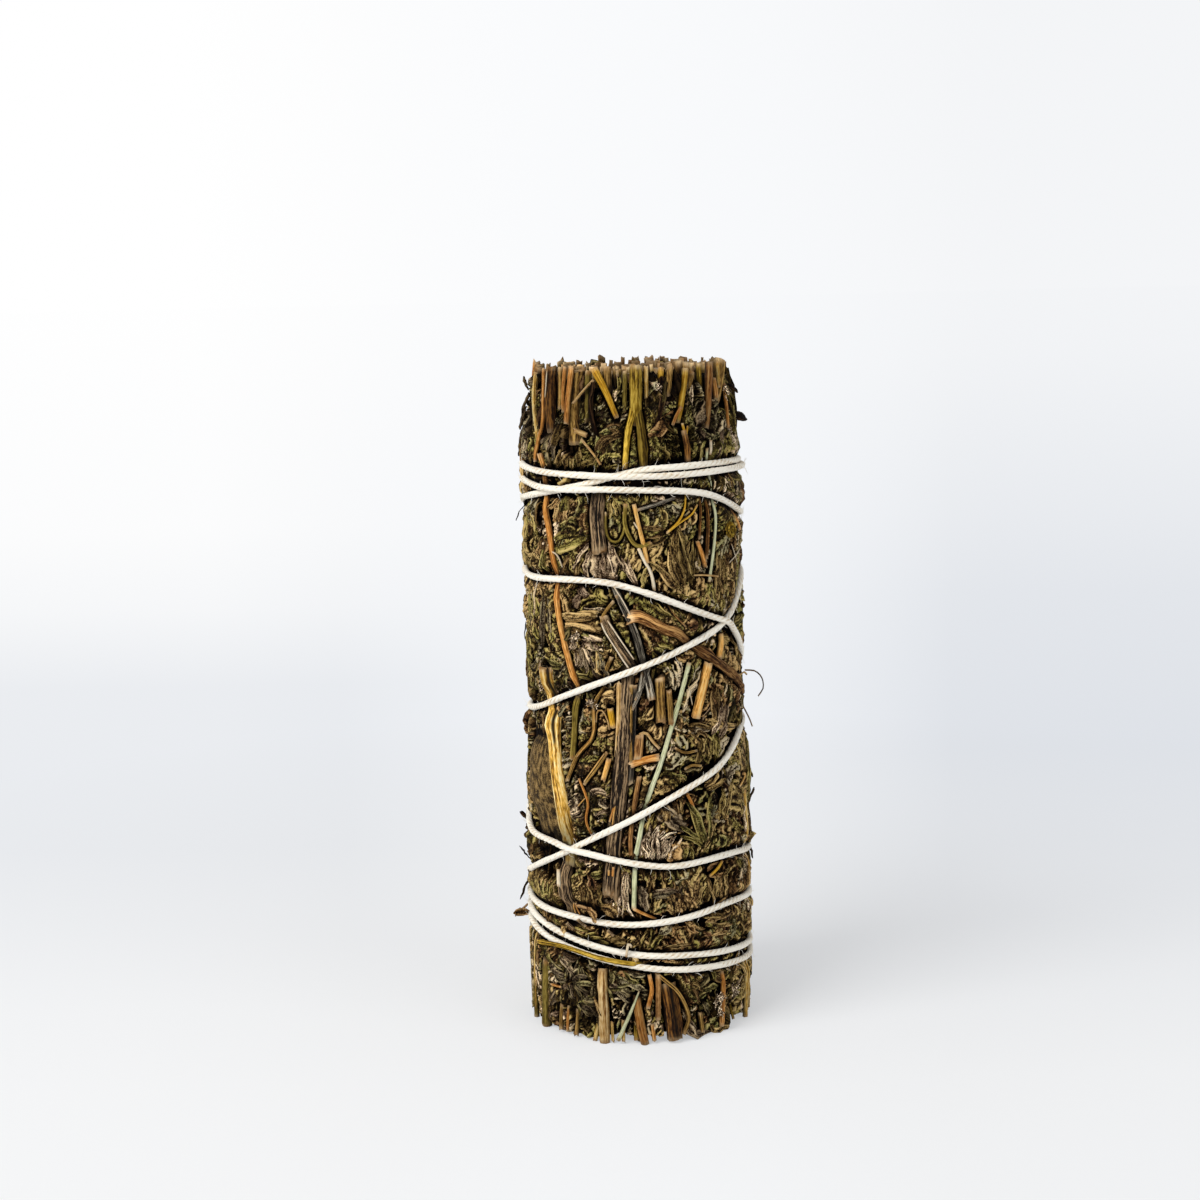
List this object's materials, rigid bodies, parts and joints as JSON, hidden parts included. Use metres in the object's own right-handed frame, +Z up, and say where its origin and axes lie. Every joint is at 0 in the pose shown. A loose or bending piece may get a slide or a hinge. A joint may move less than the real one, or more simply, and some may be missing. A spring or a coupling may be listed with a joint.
{
  "type": "herb smudge stick",
  "caption": "Upright bundle of dried mugwort-type sage sprigs, leaves and woody stems, bound from top to foot with white cotton string.",
  "frame": {"origin": "centre of the thick middle stem's cut end, on the plane that the bundle stands on", "axes": "+Z up along the bundle; -Y towards the side with the forked yellow stem at its top; the string's knot is on the +Y side"},
  "size_m": [0.0374, 0.037, 0.1021],
  "materials": {
    "sage_leaf": "crumpled dry leaf, matte",
    "cotton_string": "soft twisted cotton, matte",
    "woody_stem": "dry brown bark, matte",
    "dark_bark": "weathered grey-brown bark, matte",
    "amber_stem": "dry orange stem, slightly waxy",
    "golden_straw": "dry yellow straw, slightly waxy",
    "green_stem": "dry olive-green stem, matte",
    "pale_stem": "stripped pale stem, matte",
    "grass_blade": "dry flat grass, matte",
    "dry_flower": "dried flower head, matte"
  },
  "bodies": {
    "root": {"leaf_wad_01": "sage_leaf", "leaf_wad_02": "sage_leaf", "leaf_wad_03": "sage_leaf", "leaf_wad_04": "sage_leaf", "leaf_wad_05": "sage_leaf", "leaf_wad_06": "sage_leaf", "leaf_wad_07": "sage_leaf", "leaf_wad_08": "sage_leaf", "leaf_wad_09": "sage_leaf", "leaf_wad_10": "sage_leaf", "leaf_core_1": "sage_leaf", "leaf_core_2": "sage_leaf", "leaf_core_3": "sage_leaf", "leaf_core_4": "sage_leaf", "leaf_core_5": "sage_leaf", "binding_string": "cotton_string", "main_stem": "woody_stem", "inner_stem_1": "woody_stem", "inner_stem_2": "woody_stem", "inner_stem_3": "woody_stem", "inner_stem_4": "woody_stem", "inner_stem_5": "woody_stem", "brown_stem_top": "woody_stem", "brown_stem_top_right": "woody_stem", "hollow_stem_top": "woody_stem", "hollow_stem_foot": "woody_stem", "brown_stem_foot": "woody_stem", "brown_twig_right": "woody_stem", "back_stem_right": "woody_stem", "back_stem_middle": "woody_stem", "back_stem_left": "woody_stem", "dark_stem_front": "dark_bark", "bark_stem_left": "dark_bark", "bark_stem_upper": "dark_bark", "orange_stem_left": "amber_stem", "orange_stem_top_right": "amber_stem", "orange_stem_foot": "amber_stem", "amber_stem_piece": "amber_stem", "amber_stem_upper": "amber_stem", "split_straw_left": "golden_straw", "straw_stem_top": "golden_straw", "yellow_stem_top_right": "golden_straw", "yellow_stem_top_left": "golden_straw", "golden_stem_right": "golden_straw", "split_stem_right": "golden_straw", "forked_stem_top": "golden_straw", "side_stem_left": "golden_straw", "edge_stem_foot": "golden_straw", "green_stem_foot": "green_stem", "olive_stem_foot": "green_stem", "olive_straw": "green_stem", "pale_stem_foot": "pale_stem", "white_straw": "pale_stem", "grass_blade_long": "grass_blade", "grass_blade_thin": "grass_blade", "grass_blade_foot": "grass_blade", "flower_head": "dry_flower"}
  },
  "joints": []
}
